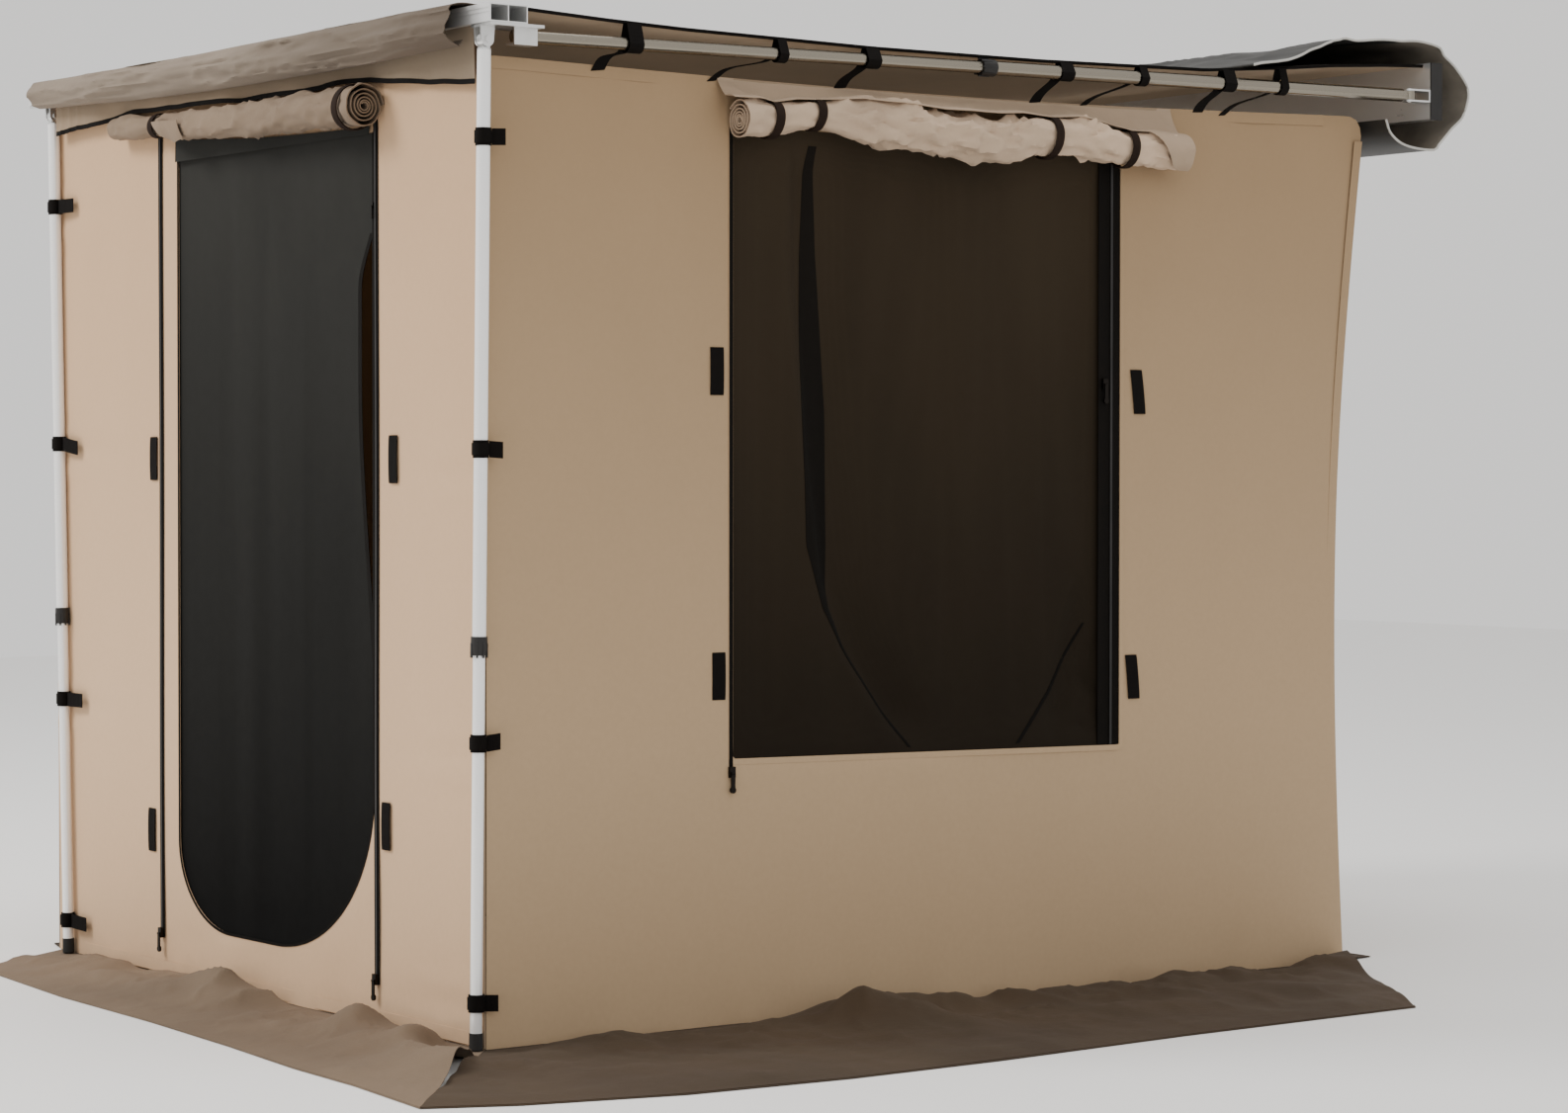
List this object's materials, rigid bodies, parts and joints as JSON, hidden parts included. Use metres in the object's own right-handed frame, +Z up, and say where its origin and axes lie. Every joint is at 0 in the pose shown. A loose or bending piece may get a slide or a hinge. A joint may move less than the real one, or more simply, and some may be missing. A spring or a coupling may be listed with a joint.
{
  "type": "vehicle side awning",
  "caption": "Side awning for a roof rack with an attached awning room, standing open: canopy on folding arms and legs, walls with a mesh door and a mesh window, rolled flaps and ground skirts.",
  "frame": {"origin": "middle of the face with which the centre rack bracket rests on a crossbar of the roof rack", "axes": "+X along the vehicle towards the window wall, +Y towards the vehicle, +Z up"},
  "size_m": [2.6849, 3.0589, 2.1115],
  "materials": {
    "aluminium": "drawn and anodised, satin",
    "cast_alloy": "cast and tumbled",
    "black_steel": "black powder coat",
    "black_plastic": "moulded, fine grain",
    "rubber": "matte",
    "bag_cloth": "heavy coated cloth",
    "canopy_canvas": "grey beige canvas, fine weave",
    "wall_canvas_light": "sand coloured canvas, fine weave",
    "wall_canvas_side": "sand coloured canvas, fine weave",
    "skirt_canvas": "brown grey coated cloth",
    "door_mesh_cloth": "fine dark grey insect mesh",
    "window_mesh_cloth": "fine dark insect mesh",
    "webbing": "black woven tape",
    "zip_metal": "dull grey metal"
  },
  "bodies": {
    "awning_and_room": {"backing_rail": "aluminium", "backing_rail_cap_window": "black_plastic", "backing_rail_cap_far": "black_plastic", "rack_bracket_window": "black_steel", "rack_bracket_centre": "black_steel", "rack_bracket_far": "black_steel", "travel_bag": "bag_cloth", "canopy": "canopy_canvas", "front_rail": "aluminium", "front_valance": "wall_canvas_light", "corner_bracket_window": "cast_alloy", "corner_bracket_far": "cast_alloy", "window_wall": "wall_canvas_side", "far_wall": "wall_canvas_side", "vehicle_wall": "wall_canvas_side", "front_wall": "wall_canvas_light", "window_mesh": "window_mesh_cloth", "door_zip_window_side": "webbing", "door_zip_far_side": "webbing", "window_zip_strip": "webbing", "door_roll": "wall_canvas_light", "window_roll": "wall_canvas_light", "front_skirt": "skirt_canvas", "window_skirt": "skirt_canvas", "far_skirt": "skirt_canvas", "vehicle_skirt": "skirt_canvas", "arm_hinge_window": "cast_alloy", "arm_straps_window": "webbing", "arm_hinge_far": "cast_alloy", "arm_straps_far": "webbing", "leg_strap_window_top": "webbing", "leg_strap_window_upper": "webbing", "leg_strap_window_lower": "webbing", "leg_strap_window_bottom": "webbing", "leg_strap_far_top": "webbing", "leg_strap_far_upper": "webbing", "leg_strap_far_lower": "webbing", "leg_strap_far_bottom": "webbing"},
    "door_mesh": {"door_mesh": "door_mesh_cloth"},
    "door_zip_slider_window_side": {"door_zip_slider_window_side": "zip_metal"},
    "door_zip_slider_far_side": {"door_zip_slider_far_side": "zip_metal"},
    "window_zip_slider": {"window_zip_slider": "zip_metal"},
    "arm_window": {"arm_outer_tube_window": "aluminium"},
    "arm_lock_window": {"arm_lock_window": "black_plastic"},
    "arm_inner_window": {"arm_inner_tube_window": "aluminium"},
    "arm_far": {"arm_outer_tube_far": "aluminium"},
    "arm_lock_far": {"arm_lock_far": "black_plastic"},
    "arm_inner_far": {"arm_inner_tube_far": "aluminium"},
    "leg_window": {"leg_head_window": "cast_alloy", "leg_upper_tube_window": "aluminium"},
    "leg_lock_window": {"leg_lock_window": "black_plastic"},
    "leg_lower_window": {"leg_lower_tube_window": "aluminium", "leg_foot_window": "rubber"},
    "leg_far": {"leg_head_far": "cast_alloy", "leg_upper_tube_far": "aluminium"},
    "leg_lock_far": {"leg_lock_far": "black_plastic"},
    "leg_lower_far": {"leg_lower_tube_far": "aluminium", "leg_foot_far": "rubber"},
    "window_zip_slider_near": {"window_zip_slider_near": "zip_metal"},
    "door_mesh_slider": {"door_mesh_slider": "zip_metal"}
  },
  "joints": [
    {"name": "arm_swing_window", "type": "hinge", "parent": "awning_and_room", "child": "arm_window", "pos_m": [0.988, -0.11685, -0.081], "axis": [0, 0.0124, -0.9999], "range_deg": [0, 90], "deforming": ["arm_straps_window"]},
    {"name": "arm_slide_window", "type": "slide", "parent": "arm_window", "child": "arm_inner_window", "axis": [0, 0.9999, 0.0124], "range_m": [0, 1.07]},
    {"name": "arm_lock_turn_window", "type": "hinge", "parent": "arm_window", "child": "arm_lock_window", "pos_m": [0.988, -1.36782, -0.09654], "axis": [0, 0.9999, 0.0124], "range_deg": [0, 90]},
    {"name": "arm_swing_far", "type": "hinge", "parent": "awning_and_room", "child": "arm_far", "pos_m": [-0.988, -0.11685, -0.117], "axis": [0, -0.0124, 0.9999], "range_deg": [0, 90], "deforming": ["arm_straps_far"]},
    {"name": "arm_slide_far", "type": "slide", "parent": "arm_far", "child": "arm_inner_far", "axis": [0, 0.9999, 0.0124], "range_m": [0, 1.07]},
    {"name": "arm_lock_turn_far", "type": "hinge", "parent": "arm_far", "child": "arm_lock_far", "pos_m": [-0.988, -1.36782, -0.13254], "axis": [0, 0.9999, 0.0124], "range_deg": [0, 90]},
    {"name": "leg_swing_window", "type": "hinge", "parent": "awning_and_room", "child": "leg_window", "pos_m": [0.981, -2.59185, -0.121], "axis": [-1, 0, 0], "range_deg": [0, 90], "deforming": ["leg_strap_window_top", "leg_strap_window_upper", "leg_strap_window_lower", "leg_strap_window_bottom"]},
    {"name": "leg_slide_window", "type": "slide", "parent": "leg_window", "child": "leg_lower_window", "axis": [0.0175, 0, 0.9998], "range_m": [0, 0.7]},
    {"name": "leg_lock_turn_window", "type": "hinge", "parent": "leg_window", "child": "leg_lock_window", "pos_m": [0.96065, -2.59185, -1.28582], "axis": [0.0175, 0, 0.9998], "range_deg": [0, 90]},
    {"name": "leg_swing_far", "type": "hinge", "parent": "awning_and_room", "child": "leg_far", "pos_m": [-0.934, -2.59185, -0.121], "axis": [-1, 0, 0], "range_deg": [0, 90], "deforming": ["leg_strap_far_top", "leg_strap_far_upper", "leg_strap_far_lower", "leg_strap_far_bottom"]},
    {"name": "leg_slide_far", "type": "slide", "parent": "leg_far", "child": "leg_lower_far", "axis": [-0.0339, 0, 0.9994], "range_m": [0, 0.7]},
    {"name": "leg_lock_turn_far", "type": "hinge", "parent": "leg_far", "child": "leg_lock_far", "pos_m": [-0.89451, -2.59185, -1.28533], "axis": [-0.0339, 0, 0.9994], "range_deg": [0, 90]},
    {"name": "door_mesh_swing", "type": "hinge", "parent": "awning_and_room", "child": "door_mesh", "pos_m": [0.093, -2.57055, -0.254], "axis": [1, 0, 0], "range_deg": [0, 80]},
    {"name": "door_zip_travel_window_side", "type": "slide", "parent": "awning_and_room", "child": "door_zip_slider_window_side", "axis": [0, 0, 1], "range_m": [0, 1.65]},
    {"name": "door_zip_travel_far_side", "type": "slide", "parent": "awning_and_room", "child": "door_zip_slider_far_side", "axis": [0, 0, 1], "range_m": [0, 1.65]},
    {"name": "window_zip_travel", "type": "slide", "parent": "awning_and_room", "child": "window_zip_slider", "axis": [0, 0, 1], "range_m": [-0.7, 0.45]},
    {"name": "window_zip_travel_near", "type": "slide", "parent": "awning_and_room", "child": "window_zip_slider_near", "axis": [0, 0, 1], "range_m": [0, 1.2]},
    {"name": "door_mesh_zip_travel", "type": "slide", "parent": "awning_and_room", "child": "door_mesh_slider", "axis": [0, 0, 1], "range_m": [-1.1, 0.1]}
  ]
}
